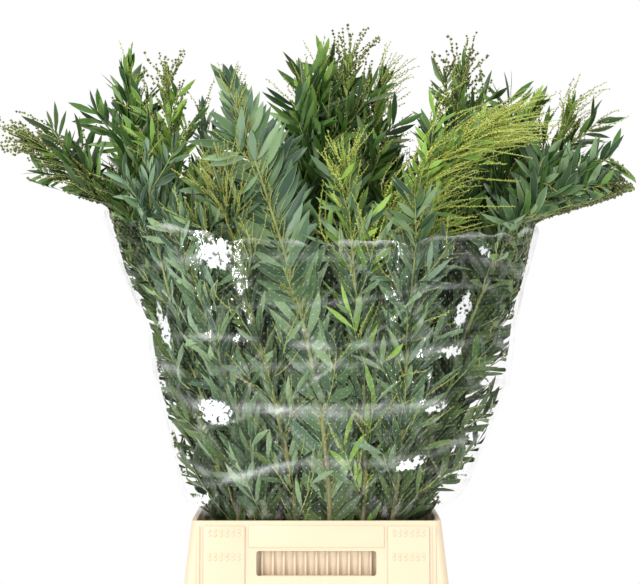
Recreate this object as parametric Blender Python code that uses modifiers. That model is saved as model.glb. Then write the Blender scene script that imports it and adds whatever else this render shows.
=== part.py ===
"""A bunch of budding wattle stems in a clear film sleeve, standing in a cream plastic flower tub.

Metres, +Z up. The origin is the middle of the tub's flat underside, and the front looks along -Y.
"""

import math

import bmesh
import bpy
import numpy as np
from mathutils import Vector, noise
from mathutils.bvhtree import BVHTree

# The tub: outer sizes at the rim, at the foot and at the lower edge of its skirt
TUB_HEIGHT = 0.300
TUB_RIM = (0.388, 0.290)
TUB_FOOT = (0.334, 0.238)
TUB_SKIRT = (0.414, 0.316)
SKIRT_DEPTH = 0.110
TUB_WALL = 0.003
TUB_FLOOR = 0.005
RIM_WIDTH = 0.0075
RIM_CORNER = 0.012
SKIRT_CORNER = 0.032
FOOT_CORNER = 0.040
CORNER_POINTS = 4

# The grip window in each long side of the skirt, and the raised panels beside it
WINDOW = (0.186, 0.038)
WINDOW_TOP = 0.0465
PANEL_WIDTH = 0.064
PANEL_RAISE = 0.003
PANEL_SPACING = 0.286
PANEL_TOP = 0.008

# The sleeve: half widths, half depths and squareness of its section, from its foot up to its mouth
SLEEVE_FOOT = 0.262
SLEEVE_FILM = 0.0008
SLEEVE_POINTS = 32
SLEEVE_LEVELS = {
    # height: (left, right, front, back, squareness)
    0.2620: (0.166, 0.166, 0.114, 0.114, 3.2),
    0.2985: (0.1745, 0.1745, 0.125, 0.125, 3.2),
    0.3045: (0.200, 0.200, 0.150, 0.150, 3.0),
    0.3200: (0.213, 0.222, 0.166, 0.166, 2.7),
    0.3450: (0.219, 0.242, 0.178, 0.178, 2.5),
    0.4150: (0.236, 0.274, 0.197, 0.197, 2.3),
    0.5050: (0.257, 0.308, 0.216, 0.214, 2.2),
    0.6000: (0.273, 0.319, 0.232, 0.230, 2.1),
    0.6900: (0.313, 0.341, 0.245, 0.245, 2.0),
    0.8000: (0.345, 0.366, 0.255, 0.255, 1.9),
}
# Height of the mouth at the right corner, the back, the left corner and the front
MOUTH = (0.756, 0.770, 0.783, 0.730)

# The cut stems, from the tub's floor to where the leaves start
STEM_RADIUS = 0.0052
STEM_TOP_RADIUS = 0.0042
STEM_SIDES = 7
STEM_RINGS = 3
FOOT_SPREAD = 0.62
LEAVES_START = 0.285
TOUCH_GAP = 0.0003

# The leafy sprays: their solids keep this far from the film and from each other
SPRAY_SIDES = 9
SPRAY_RINGS = 12
FILM_CLEAR = 0.006
SPRAY_CLEAR = 0.0035
LEAST_REACH = 0.006
FIRST_REACH = 0.011
UNEVEN = 0.45
LUMPS_PER_METRE = 16.0
SEED_STEP = 7.31
RING_CROWDING = 1.10
LAST_RING = 0.965
REACH_STEPS = 18
AXIS_SAMPLES = 90
SWELL_FROM = 0.60
SWELL_OVER = 0.20
OPENING_SHARE = 0.45
OPENING_OVER = 0.25
CLOSING_FROM = 0.74
CLOSING_OVER = 0.27
MOUTH_RISE = 0.012
MOUTH_FLARE = 1.2
PULL = 0.15
LAST_PULL = 0.08
MOST_PULLS = 30

# name: neck (x, y), tip (x, y, z), direction at the tip, reach in the sleeve, reach above it
SPRAYS = {
    "far_left": ((-0.148, -0.005), (-0.487, -0.030, 0.905), (-1.0, 0.0, 0.30), 0.050, 0.066),
    "left_small": ((-0.118, -0.070), (-0.264, -0.115, 0.901), (0.05, 0.0, 1.0), 0.055, 0.046),
    "left_tall": ((-0.128, -0.035), (-0.296, -0.020, 1.057), (0.15, 0.0, 1.0), 0.055, 0.078),
    "left_bright": ((-0.085, -0.050), (-0.236, -0.070, 1.026), (0.05, 0.0, 1.0), 0.055, 0.062),
    "left_narrow": ((-0.045, -0.045), (-0.182, -0.030, 0.978), (0.02, 0.0, 1.0), 0.050, 0.042),
    "front_left_low": ((-0.078, -0.093), (-0.215, -0.165, 0.800), (-0.15, 0.0, 1.0), 0.065, 0.055),
    "front_olive": ((-0.030, -0.095), (-0.152, -0.165, 0.870), (-0.10, 0.0, 1.0), 0.062, 0.062),
    "front_main": ((0.020, -0.098), (-0.146, -0.160, 1.006), (-0.35, 0.0, 1.0), 0.080, 0.070),
    "front_centre": ((0.070, -0.092), (0.044, -0.150, 0.880), (-0.05, 0.0, 1.0), 0.068, 0.058),
    "front_right_low": ((0.115, -0.085), (0.168, -0.165, 0.810), (0.20, 0.0, 1.0), 0.070, 0.062),
    "top_left": ((-0.005, -0.045), (-0.030, -0.015, 1.027), (-0.15, 0.0, 1.0), 0.055, 0.072),
    "top_centre": ((-0.020, 0.000), (0.010, 0.020, 1.066), (0.05, 0.0, 1.0), 0.050, 0.062),
    "top_buds": ((0.045, -0.045), (0.056, 0.010, 1.065), (0.10, 0.0, 1.0), 0.055, 0.062),
    "top_right": ((0.040, 0.000), (0.118, 0.025, 1.032), (0.30, 0.0, 1.0), 0.050, 0.070),
    "right_golden": ((0.092, -0.050), (0.302, -0.130, 0.915), (1.0, 0.0, 0.10), 0.058, 0.082),
    "right_tall": ((0.085, 0.000), (0.241, 0.030, 1.051), (0.10, 0.0, 1.0), 0.052, 0.072),
    "right_fan": ((0.135, -0.010), (0.367, 0.000, 0.982), (0.60, 0.0, 1.0), 0.058, 0.070),
    "far_right_tall": ((0.150, 0.018), (0.414, -0.010, 0.984), (0.15, 0.0, 1.0), 0.058, 0.062),
    "far_right_low": ((0.142, -0.055), (0.484, -0.090, 0.810), (1.0, 0.0, -0.90), 0.065, 0.062),
    "back_far_left": ((-0.130, 0.042), (-0.345, 0.080, 0.862), (-0.50, 0.1, 1.0), 0.058, 0.066),
    "back_left": ((-0.090, 0.005), (-0.300, 0.150, 0.968), (-0.10, 0.1, 1.0), 0.058, 0.072),
    "back_left_low": ((-0.082, 0.060), (-0.195, 0.210, 0.870), (-0.25, 0.3, 1.0), 0.065, 0.068),
    "back_centre_left": ((-0.040, 0.092), (-0.085, 0.220, 0.905), (-0.05, 0.1, 1.0), 0.065, 0.072),
    "back_centre": ((0.000, 0.045), (0.022, 0.160, 0.992), (0.05, 0.1, 1.0), 0.058, 0.074),
    "back_low": ((0.045, 0.095), (0.070, 0.245, 0.868), (0.05, 0.2, 1.0), 0.065, 0.068),
    "back_centre_right": ((0.055, 0.045), (0.135, 0.165, 0.925), (0.10, 0.1, 1.0), 0.058, 0.070),
    "back_right": ((0.105, 0.045), (0.250, 0.140, 0.977), (0.10, 0.1, 1.0), 0.058, 0.074),
    "back_right_low": ((0.100, 0.080), (0.215, 0.210, 0.865), (0.30, 0.3, 1.0), 0.065, 0.070),
    "back_far_right": ((0.138, 0.052), (0.360, 0.090, 0.905), (0.50, 0.1, 1.0), 0.060, 0.068),
}

# Base colour, roughness of each finish
FINISHES = {
    "cream_plastic": ((0.87, 0.72, 0.50), 0.45),
    "clear_film": ((0.92, 0.94, 0.95), 0.10),
    "green_bark": ((0.42, 0.43, 0.22), 0.60),
    "wattle_leaf": ((0.10, 0.20, 0.10), 0.45),
}


def clear_scene():
    """Removes every object, so that the model stands alone."""
    for thing in list(bpy.data.objects):
        bpy.data.objects.remove(thing, do_unlink=True)


def new_collection(name):
    found = bpy.data.collections.new(name)
    bpy.context.scene.collection.children.link(found)
    return found


def finish(name):
    """The Principled material of this name, made once for each piece that asks."""
    colour, roughness = FINISHES[name]
    made = bpy.data.materials.new(name)
    made.use_nodes = True
    shader = made.node_tree.nodes["Principled BSDF"]
    shader.inputs["Base Color"].default_value = (*colour, 1.0)
    shader.inputs["Roughness"].default_value = roughness
    shader.inputs["Metallic"].default_value = 0.0
    return made


def piece_from(name, mesh, collection, finish_name):
    made = bpy.data.objects.new(name, mesh)
    collection.objects.link(made)
    made.data.materials.append(finish(finish_name))
    return made


def smoothstep(value):
    value = min(max(value, 0.0), 1.0)
    return value * value * (3.0 - 2.0 * value)


def blend(first, second, share):
    return first + (second - first) * share


def loft(rings, first_cap=True, last_cap=True):
    """A mesh of quads between rings of as many points each, with its ends closed or left open."""
    shape = bmesh.new()
    loops = [[shape.verts.new(point) for point in ring] for ring in rings]
    count = len(loops[0])
    for lower, upper in zip(loops, loops[1:]):
        for here in range(count):
            after = (here + 1) % count
            shape.faces.new((lower[here], lower[after], upper[after], upper[here]))
    if first_cap:
        shape.faces.new(list(reversed(loops[0])))
    if last_cap:
        shape.faces.new(loops[-1])
    mesh = bpy.data.meshes.new("loft")
    shape.to_mesh(mesh)
    shape.free()
    return mesh


def rounded_rectangle(size, corner, height):
    """Points of a rectangle with round corners, anticlockwise from above, at one height."""
    points = []
    for quarter, (side_x, side_y) in enumerate(((1, 1), (-1, 1), (-1, -1), (1, -1))):
        middle_x = side_x * (size[0] / 2 - corner)
        middle_y = side_y * (size[1] / 2 - corner)
        for step in range(CORNER_POINTS):
            angle = math.pi / 2 * (quarter + step / (CORNER_POINTS - 1))
            points.append(
                (middle_x + corner * math.cos(angle), middle_y + corner * math.sin(angle), height)
            )
    return points


def shrunk(size, by):
    return (size[0] - 2 * by, size[1] - 2 * by)


def cutter_box(name, size, place, collection):
    bpy.ops.mesh.primitive_cube_add(size=1.0, location=place)
    made = bpy.context.object
    made.name = name
    made.scale = size
    bpy.ops.object.transform_apply(location=False, rotation=False, scale=True)
    for holder in list(made.users_collection):
        holder.objects.unlink(made)
    collection.objects.link(made)
    made.hide_render = True
    made.display_type = "WIRE"
    return made


def boolean(target, other, operation):
    change = target.modifiers.new(f"{operation.lower()}_{other.name}", "BOOLEAN")
    change.operation = operation
    change.object = other


def make_tub(parts, helpers):
    """A tapering tub whose rim turns over into a skirt that stands off the walls and flares downwards."""
    skirt_foot = TUB_HEIGHT - SKIRT_DEPTH
    under_rim = TUB_HEIGHT - TUB_WALL
    neck = shrunk(TUB_RIM, RIM_WIDTH - TUB_WALL)
    rings = [
        rounded_rectangle(TUB_FOOT, FOOT_CORNER, 0.0),
        rounded_rectangle(neck, RIM_CORNER, under_rim),
        rounded_rectangle(shrunk(TUB_RIM, TUB_WALL), RIM_CORNER, under_rim),
        rounded_rectangle(shrunk(TUB_SKIRT, TUB_WALL), SKIRT_CORNER, skirt_foot),
        rounded_rectangle(TUB_SKIRT, SKIRT_CORNER, skirt_foot),
        rounded_rectangle(TUB_RIM, RIM_CORNER, TUB_HEIGHT),
        rounded_rectangle(shrunk(TUB_RIM, RIM_WIDTH), RIM_CORNER, TUB_HEIGHT),
        rounded_rectangle(shrunk(TUB_FOOT, TUB_WALL), FOOT_CORNER, TUB_FLOOR),
    ]
    tub = piece_from("tub", loft(rings), parts, "cream_plastic")
    window_middle = TUB_HEIGHT - WINDOW_TOP - WINDOW[1] / 2
    flare = (TUB_SKIRT[1] - TUB_RIM[1]) / 2
    for side, label in ((-1, "front"), (1, "back")):
        for end, end_label in ((-1, "left"), (1, "right")):
            # A raised panel follows the slope of the skirt, with its back sunk into the wall
            top = TUB_HEIGHT - PANEL_TOP
            height = SKIRT_DEPTH - PANEL_TOP
            panel_rings = []
            for level in (skirt_foot, top):
                down = (TUB_HEIGHT - level) / SKIRT_DEPTH
                face = TUB_RIM[1] / 2 + flare * down
                near = end * PANEL_SPACING / 2 - PANEL_WIDTH / 2
                corners = (
                    (near, face - TUB_WALL / 2),
                    (near + PANEL_WIDTH, face - TUB_WALL / 2),
                    (near + PANEL_WIDTH, face + PANEL_RAISE),
                    (near, face + PANEL_RAISE),
                )
                corners = corners if side > 0 else tuple(reversed(corners))
                panel_rings.append([(x, side * y, level) for x, y in corners])
            panel = bpy.data.objects.new(f"panel_{label}_{end_label}", loft(panel_rings))
            helpers.objects.link(panel)
            panel.hide_render = True
            panel.display_type = "WIRE"
            boolean(tub, panel, "UNION")
        place = (0.0, side * (TUB_RIM[1] / 2 + flare / 2), window_middle)
        window = cutter_box(f"window_{label}", (WINDOW[0], flare + 0.010, WINDOW[1]), place, helpers)
        boolean(tub, window, "DIFFERENCE")
    return tub


def sleeve_level(height):
    """The section of the sleeve at a height: left, right, front, back and squareness."""
    heights = sorted(SLEEVE_LEVELS)
    if height <= heights[0]:
        return SLEEVE_LEVELS[heights[0]]
    for low, high in zip(heights, heights[1:]):
        if height <= high:
            share = (height - low) / (high - low)
            pairs = zip(SLEEVE_LEVELS[low], SLEEVE_LEVELS[high])
            return tuple(blend(first, second, share) for first, second in pairs)
    return SLEEVE_LEVELS[heights[-1]]


def mouth_height(angle):
    """Height of the sleeve's upper edge round the bunch, smooth through its four named heights."""
    quarter = (angle / (math.pi / 2)) % 4.0
    here = int(quarter)
    return blend(MOUTH[here], MOUTH[(here + 1) % 4], smoothstep(quarter - here))


def sleeve_point(angle, height):
    left, right, front, back, squareness = sleeve_level(height)
    across, along = math.cos(angle), math.sin(angle)
    x = math.copysign(abs(across) ** (2 / squareness), across) * (right if across > 0 else left)
    y = math.copysign(abs(along) ** (2 / squareness), along) * (back if along > 0 else front)
    return (x, y, height)


def make_sleeve(parts):
    """A fan of film, open above and below, tucked inside the rim of the tub."""
    heights = [height for height in sorted(SLEEVE_LEVELS) if height < min(MOUTH)]
    rings = []
    angles = [2 * math.pi * index / SLEEVE_POINTS for index in range(SLEEVE_POINTS)]
    for height in heights:
        rings.append([sleeve_point(angle, height) for angle in angles])
    rings.append([sleeve_point(angle, mouth_height(angle)) for angle in angles])
    sleeve = piece_from("sleeve", loft(rings, False, False), parts, "clear_film")
    wall = sleeve.modifiers.new("film", "SOLIDIFY")
    wall.thickness = SLEEVE_FILM
    wall.offset = 0.0
    return sleeve


def hermite(start, leave, end, arrive, share):
    """A point of the smooth curve between two points with a direction at each."""
    square = share * share
    cube = square * share
    return (
        start * (2 * cube - 3 * square + 1)
        + leave * (cube - 2 * square + share)
        + end * (3 * square - 2 * cube)
        + arrive * (cube - square)
    )


def stem_route(neck):
    """Foot and neck of a cut stem, and its direction at both."""
    top = Vector((neck[0], neck[1], LEAVES_START))
    foot = Vector((neck[0] * FOOT_SPREAD, neck[1] * FOOT_SPREAD, TUB_FLOOR + TOUCH_GAP))
    rise = (top - foot).normalized()
    return foot, top, rise


def spray_axis(neck, tip, direction):
    """A function of 0 to 1 that follows the leafy part of a stem from its neck to its tip."""
    _, start, rise = stem_route(neck)
    end = Vector(tip)
    length = (end - start).length
    leave = rise * length
    arrive = Vector(direction).normalized() * length
    return lambda share: hermite(start, leave, end, arrive, share)


def frame_at(axis, share):
    """Two directions across a curve at a share of its length, and the one along it."""
    along = (axis(min(share + 0.01, 1.0)) - axis(max(share - 0.01, 0.0))).normalized()
    across = Vector((0.0, 1.0, 0.0)).cross(along)
    if across.length < 0.2:
        across = Vector((1.0, 0.0, 0.0)).cross(along)
    across.normalize()
    return across, along.cross(across), along


def ring_round(middle, across, other, radii):
    count = len(radii)
    turn = 2 * math.pi / count
    return [
        middle + (across * math.cos(turn * index) + other * math.sin(turn * index)) * reach
        for index, reach in enumerate(radii)
    ]


def make_stem(name, neck, parts):
    """One tapering stem, cut flat at its foot, that ends where its leaves start."""
    foot, top, rise = stem_route(neck)
    top = top - rise * TOUCH_GAP
    across, other, _ = frame_at(lambda share: blend(foot, top, share), 0.5)
    rings = []
    for index in range(STEM_RINGS):
        share = index / (STEM_RINGS - 1)
        radius = blend(STEM_RADIUS, STEM_TOP_RADIUS, share)
        ring = ring_round(blend(foot, top, share), across, other, [radius] * STEM_SIDES)
        if index == 0:
            ring = [Vector((point.x, point.y, foot.z)) for point in ring]
        rings.append(ring)
    return piece_from(f"stem_{name}", loft(rings), parts, "green_bark")


def clear_of_film(point):
    """Whether a point is well inside the sleeve, carried on upwards and opening out above its mouth."""
    left, right, front, back, squareness = sleeve_level(point[2])
    angle = math.atan2(point[1] / front, point[0] / right)
    above = max(point[2] - mouth_height(angle % (2 * math.pi)) - MOUTH_RISE, 0.0)
    half_x = (right if point[0] > 0 else left) - FILM_CLEAR + MOUTH_FLARE * above
    half_y = (back if point[1] > 0 else front) - FILM_CLEAR + MOUTH_FLARE * above
    return abs(point[0] / half_x) ** squareness + abs(point[1] / half_y) ** squareness < 1.0


def free_reach(middle, ways, wanted, own, others):
    """How far a spray's solid reaches in each direction before it meets the film or a neighbour's share."""
    share = np.linspace(0.0, 1.0, REACH_STEPS)[None, :, None]
    reach = LEAST_REACH + (wanted[:, None, None] - LEAST_REACH) * share
    trials = middle[None, None, :] + ways[:, None, :] * reach
    to_own = np.linalg.norm(trials[:, :, None, :] - own, axis=3).min(axis=2)
    to_others = np.linalg.norm(trials[:, :, None, :] - others, axis=3).min(axis=2)
    free = to_others > to_own + 2 * SPRAY_CLEAR
    for side, step in np.ndindex(free.shape):
        free[side, step] &= clear_of_film(trials[side, step])
    blocked = np.where(free.all(axis=1), REACH_STEPS, (~free).argmax(axis=1))
    last = np.clip(blocked - 1, 0, None)
    return reach[np.arange(len(ways)), last, 0]


def spray_reach(share, height, low, high):
    """The wanted reach of a spray along its axis: full in the middle, rounded off at the tip."""
    swell = blend(low, high, smoothstep((height - SWELL_FROM) / SWELL_OVER))
    opening = blend(OPENING_SHARE, 1.0, smoothstep(share / OPENING_OVER))
    closing = math.sqrt(max(1.0 - max((share - CLOSING_FROM) / CLOSING_OVER, 0.0) ** 2, 0.0))
    return swell * opening * closing


def make_spray(name, row, lines, kept_off, parts):
    """The mass of leaves and bud sprays round one stem, as one closed, uneven solid."""
    neck, tip, direction, low, high = row
    axis = spray_axis(neck, tip, direction)
    others = np.concatenate([line for other, line in lines.items() if other != name])
    seed = Vector((list(SPRAYS).index(name) * SEED_STEP, 0.0, 0.0))
    angles = [2 * math.pi * side / SPRAY_SIDES for side in range(SPRAY_SIDES)]
    rings = []
    middles = []
    for index in range(SPRAY_RINGS):
        share = LAST_RING * (index / (SPRAY_RINGS - 1)) ** RING_CROWDING
        middle = axis(share)
        across, other, _ = frame_at(axis, share)
        ways = [across * math.cos(angle) + other * math.sin(angle) for angle in angles]
        reach = spray_reach(share, middle.z, low, high)
        lumps = [noise.noise((middle + way * reach) * LUMPS_PER_METRE + seed) for way in ways]
        wanted = np.array([reach * (1.0 + UNEVEN * lump) for lump in lumps])
        radii = [FIRST_REACH] * SPRAY_SIDES
        if index > 0:
            radii = free_reach(np.array(middle), np.array(ways), wanted, lines[name], others)
        rings.append([middle + way * float(radius) for way, radius in zip(ways, radii)])
        middles.append(middle)
    mesh = draw_in(rings, middles, axis(1.0), kept_off)
    return piece_from(f"spray_{name}", mesh, parts, "wattle_leaf")


def spray_mesh(rings, tip):
    """A loft through the rings, with its far end closed by a fan of faces to the tip."""
    mesh = loft(rings, True, False)
    shape = bmesh.new()
    shape.from_mesh(mesh)
    point = shape.verts.new(tip)
    for edge in [edge for edge in shape.edges if edge.is_boundary]:
        shape.faces.new((edge.verts[0], edge.verts[1], point))
    bmesh.ops.recalc_face_normals(shape, faces=shape.faces)
    shape.to_mesh(mesh)
    shape.free()
    return mesh


def tree_of(mesh):
    mesh.calc_loop_triangles()
    points = [vertex.co.copy() for vertex in mesh.vertices]
    return BVHTree.FromPolygons(points, [tuple(face.vertices) for face in mesh.loop_triangles])


def pull(rings, middles, corners, share):
    for corner in corners:
        ring, side = divmod(corner, SPRAY_SIDES)
        if 0 < ring < len(rings):
            rings[ring][side] = rings[ring][side].lerp(middles[ring], share)


def draw_in(rings, middles, tip, kept_off):
    """Pulls the corners of every face that meets a neighbour towards the stem, until none does."""
    drawn = set()
    for _ in range(MOST_PULLS):
        mesh = spray_mesh(rings, tip)
        tree = tree_of(mesh)
        meeting = {face for other in kept_off for face, _ in tree.overlap(other)}
        if not meeting:
            break
        corners = {corner for face in meeting for corner in mesh.loop_triangles[face].vertices}
        pull(rings, middles, corners, PULL)
        drawn |= corners
    pull(rings, middles, drawn, LAST_PULL)
    mesh = spray_mesh(rings, tip)
    kept_off.append(tree_of(mesh))
    return mesh


def main():
    clear_scene()
    parts = new_collection("wattle_bunch")
    helpers = new_collection("helpers")
    make_tub(parts, helpers)
    sleeve = make_sleeve(parts)
    lines = {}
    for name, (neck, tip, direction, _, _) in SPRAYS.items():
        axis = spray_axis(neck, tip, direction)
        lines[name] = np.array([axis(index / AXIS_SAMPLES) for index in range(AXIS_SAMPLES + 1)])
    kept_off = [tree_of(sleeve.evaluated_get(bpy.context.evaluated_depsgraph_get()).data)]
    for name, row in SPRAYS.items():
        make_stem(name, row[0], parts)
        make_spray(name, row, lines, kept_off, parts)


main()
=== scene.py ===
"""A bunch of budding wattle stems in a clear film sleeve, standing in a cream flower tub.

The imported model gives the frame. The tub, the sleeve, the stems, their twigs, leaves and bud sprays are
modelled here in its place. Metres, +Z up, and the front looks along -Y.
"""

import math
from collections import namedtuple

import bmesh
import bpy
import numpy as np
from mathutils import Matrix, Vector


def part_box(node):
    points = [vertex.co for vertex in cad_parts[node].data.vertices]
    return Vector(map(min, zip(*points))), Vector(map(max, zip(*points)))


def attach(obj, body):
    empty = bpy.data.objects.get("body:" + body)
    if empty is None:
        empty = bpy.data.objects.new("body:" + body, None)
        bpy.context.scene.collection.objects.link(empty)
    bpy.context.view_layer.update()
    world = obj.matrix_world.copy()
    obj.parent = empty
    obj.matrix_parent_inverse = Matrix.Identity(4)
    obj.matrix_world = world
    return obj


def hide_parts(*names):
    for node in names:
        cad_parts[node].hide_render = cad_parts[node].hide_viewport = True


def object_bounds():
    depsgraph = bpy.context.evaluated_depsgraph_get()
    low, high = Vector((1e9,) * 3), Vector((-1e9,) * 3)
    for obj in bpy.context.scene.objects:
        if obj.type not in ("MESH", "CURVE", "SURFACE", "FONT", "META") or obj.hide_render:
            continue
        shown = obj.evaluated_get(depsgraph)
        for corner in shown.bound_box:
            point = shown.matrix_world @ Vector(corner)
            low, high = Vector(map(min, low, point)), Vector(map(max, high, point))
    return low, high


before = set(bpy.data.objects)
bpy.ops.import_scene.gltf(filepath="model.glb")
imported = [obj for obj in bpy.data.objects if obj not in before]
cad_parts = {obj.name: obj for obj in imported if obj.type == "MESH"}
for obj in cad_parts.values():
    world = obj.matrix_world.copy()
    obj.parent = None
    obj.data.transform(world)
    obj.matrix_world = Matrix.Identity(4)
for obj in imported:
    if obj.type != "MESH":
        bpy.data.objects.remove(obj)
CAD_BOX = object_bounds()

bl_info = {
    "name": "Wattle bunch",
    "version": (1, 0, 0),
    "blender": (4, 5, 0),
    "location": "View3D > Sidebar > Wattle",
    "description": "Builds a bunch of wattle stems in a film sleeve and its flower tub",
    "category": "Object",
}

BODY = "root"
STEM_NODES = [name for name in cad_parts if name.startswith("stem_")]
SPRAY_NODES = [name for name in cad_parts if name.startswith("spray_")]

# The tub, as high as the frame has it
TUB_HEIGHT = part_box("tub")[1].z
TUB_RIM = (0.388, 0.290)
TUB_FOOT = (0.334, 0.238)
TUB_SKIRT = (0.414, 0.316)
SKIRT_DEPTH = 0.110
TUB_WALL = 0.003
TUB_FLOOR = 0.005
RIM_WIDTH = 0.0075
RIM_CORNER = 0.014
CORNER_SEGMENTS = 6
WINDOW = (0.186, 0.038)
WINDOW_TOP = 0.0465
WINDOW_EDGE = 0.0035
CUTTER_DEPTH = 0.020
CUTTER_OUT = 0.002

# The trim on the tub's long faces: sizes across, out and up, and how far a middle stands out from its wall
PANEL_WIDTH = 0.064
PANEL_SPACING = 0.286
PANEL_TOP = 0.008
PANEL_RAISE = 0.003
PANEL_SUNK = 0.002
PANEL_EDGE = 0.0012
POST_SPACING = 0.366
POST = (0.0045, 0.003)
POST_OUT = 0.0005
DOTS_ACROSS = 6
DOT_ROWS = (0.0150, 0.0215, 0.0520, 0.0585)
DOT_SPACING = 0.0092
DOT_RADIUS = 0.0030
DOT_SHAPE = (1.0, 0.55, 0.85)
DOT_OUT = 0.0001
RIB_COUNT = 11
RIB = (0.0034, 0.0060, WINDOW[1] + 0.030)
RIB_OUT = 0.0022
RIB_EDGE = 0.0008
SILL = (WINDOW[0] - 0.012, 0.0075, 0.0035)
SILL_OUT = 0.0040
SILL_DROP = 0.002
PLATE = (WINDOW[0] + 0.024, 0.0028, 0.034)
PLATE_OUT = 0.0004
PLATE_DROP = 0.024
TRIM_EDGE = 0.0010

# The sleeve: half widths, half depths and squareness of its section, from its foot up to its mouth
SLEEVE_LEVELS = {
    # height: (left, right, front, back, squareness)
    0.2620: (0.166, 0.166, 0.114, 0.114, 3.2),
    0.2985: (0.1745, 0.1745, 0.125, 0.125, 3.2),
    0.3045: (0.200, 0.200, 0.150, 0.150, 3.0),
    0.3200: (0.213, 0.222, 0.166, 0.166, 2.7),
    0.3450: (0.219, 0.242, 0.178, 0.178, 2.5),
    0.4150: (0.236, 0.274, 0.197, 0.197, 2.3),
    0.5050: (0.257, 0.308, 0.216, 0.214, 2.2),
    0.6000: (0.273, 0.319, 0.232, 0.230, 2.1),
    0.6900: (0.313, 0.341, 0.245, 0.245, 2.0),
    0.8000: (0.345, 0.366, 0.255, 0.255, 1.9),
}
# Height of the mouth at the right corner, the back, the left corner and the front
MOUTH = (0.756, 0.770, 0.783, 0.730)
# Foliage may spread by this much for each metre above the mouth, once it is clear of it
MOUTH_FLARE = 3.2
MOUTH_CLEAR = 0.012
FILM_CLEAR = 0.006
BOX_SPARE = 0.016
RIM_LEVEL = 0.300
FOLDS_HEIGHT = 0.42
GATHERS_HEIGHT = 0.035
# Where the gathers at the rim start, the haze at their foot, and the mouth's hazy edge and its ruffles
GATHERS_FROM = 0.304
GATHERS_FADE = 0.030
GATHERED_LEVEL = 0.312
GATHERED_WIDTH = 0.016
MOUTH_EDGE = 0.004
MOUTH_RUFFLES = (0.004, 0.003)
CORNER_PLEATS = 0.20
FILM_GIRTH = 2 * math.pi * 0.24
# How much pale film shows: in the creases as haze and partly painted streak highlight, in the painted
# glints, and at the holes as painted highlight on their rims; and a hole's share of its spacing
CREASE_HAZE_AND_HIGHLIGHT = 0.60
GLINT_HAZE = 0.72
HOLE_RIM_HIGHLIGHT = 0.30
HOLE_SIZE = 0.085

# Arched creases in the film, whose pale haze is partly painted streak highlight: height, rise of the arch,
# width, strength, turn
CREASE_HIGHLIGHT_BANDS = (
    (0.592, 0.016, 0.0045, 0.42, 0.3), (0.553, 0.020, 0.0060, 0.52, 1.1), (0.492, 0.024, 0.0080, 0.50, 0.2),
    (0.468, 0.020, 0.0032, 0.42, 2.0), (0.398, 0.024, 0.0065, 0.46, 0.9), (0.372, 0.020, 0.0040, 0.38, 2.6),
    (0.640, 0.018, 0.0032, 0.32, 1.7), (0.700, 0.014, 0.0060, 0.34, 2.9),
)
# Painted glints on the film, white patches that stand for crumpled places catching the light: across,
# height, half width, half height, slant
PAINTED_GLINTS = (
    (-0.152, 0.714, 0.032, 0.030, 0.5), (-0.156, 0.471, 0.032, 0.020, -0.3),
    (0.259, 0.715, 0.011, 0.014, 0.0), (0.225, 0.627, 0.012, 0.032, -0.4),
    (0.209, 0.563, 0.024, 0.011, 0.3), (0.186, 0.477, 0.024, 0.008, 0.2),
    (0.141, 0.389, 0.032, 0.010, 0.3), (-0.240, 0.600, 0.010, 0.040, 0.3),
    (-0.180, 0.330, 0.020, 0.012, 0.5),
)
# Slanting folds: how many, how steeply they slant, width, strength
CREASE_FOLDS = ((5.0, 19.0, 0.040, 0.34), (7.0, -27.0, 0.045, 0.28), (11.0, 9.0, 0.070, 0.20))

# The stems stand on the tub's floor and carry leaves from this height up
FOOT_SPREAD = 0.62
FOOT_LEVEL = TUB_FLOOR + 0.0004
LEAVES_START = 0.265
STEM_END = 0.955
STEM_SIDES = 9
STEM_RINGS = 84
BARE_RINGS = 13
GOLDEN_ANGLE = math.radians(137.5)
ONE_TURN = 6.28

# Side twigs. A flat spray has fewer of them
TWIGS_PER_METRE = 31
FLAT_TWIGS = 0.30
FIRST_TWIG = 0.02
TWIG_SPAN = 0.89
TWIG_LENGTHS = (0.065, 0.120)
TWIG_SHORTENING = (1.15, 0.50)
TWIG_RADII = (0.0013, 0.0006)
TWIG_RINGS = 7
TWIG_SIDES = 5
TWIG_CLEAR = 0.012
TWIG_LEAF_SIZE = 0.80
TWIG_LEAF_SPACING = 1.15

# Leaves. Those low in the middle of the sleeve are painted dark as shade, and low ones are pressed to their
# stem
CROWN_FROM = 0.74
SHADED_BELOW = 0.73
SHADED_DEPTH = 0.105
PRESSED_BELOW = 0.62
PRESSED = 0.72
LEAF_SLIMNESS = 0.80
LEAF_STRETCH = 1.10
LEAF_CROWDING = 1.36
FEWEST_LEAVES = 3
MOST_LEAVES = 4600
SECOND_LEAF = 2.2
OWN_COLOUR_SHARE = 0.74
YOUNG_SHARE = 0.45
LEAF_TINT_SHARES = (0.42, 0.32, 0.26)
LEAF_FOLD = 0.22

# Bud sprays: a thread with buds along it. Fewer of them grow inside the sleeve, and more at a stem's tip
BUDS_FREE_FROM = 0.70
SLEEVE_BUDS = 0.28
FLAT_SLEEVE_BUDS = 0.78
TWIG_BUDS = 0.55
TIP_BUDS = 2.2
STRAND_RINGS = 8
STRAND_CLEAR = 0.008
THREAD_RADII = (0.00080, 0.00045)
THREAD_SIDES = 3
BUD_START = 0.14
BUD_ASIDE = 1.15
BUD_SPACING = 2.35
BUD_FULLNESS = 1.12
BUD_SIZES = {"golden": 1.0, "olive": 1.0, "dark": 1.28}
# How much buds of a colour grow along their thread: at its start, and by its end
BUD_SWELL = {"golden": (1.08, -0.45), "olive": (1.08, -0.45), "dark": (0.78, 0.34)}
BUD_TINT_SHARES = (0.5, 0.28, 0.22)

Spray = namedtuple(
    "Spray", "neck tip direction leaf mixed length width every angle flat buds blossom strand sweep"
)

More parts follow.
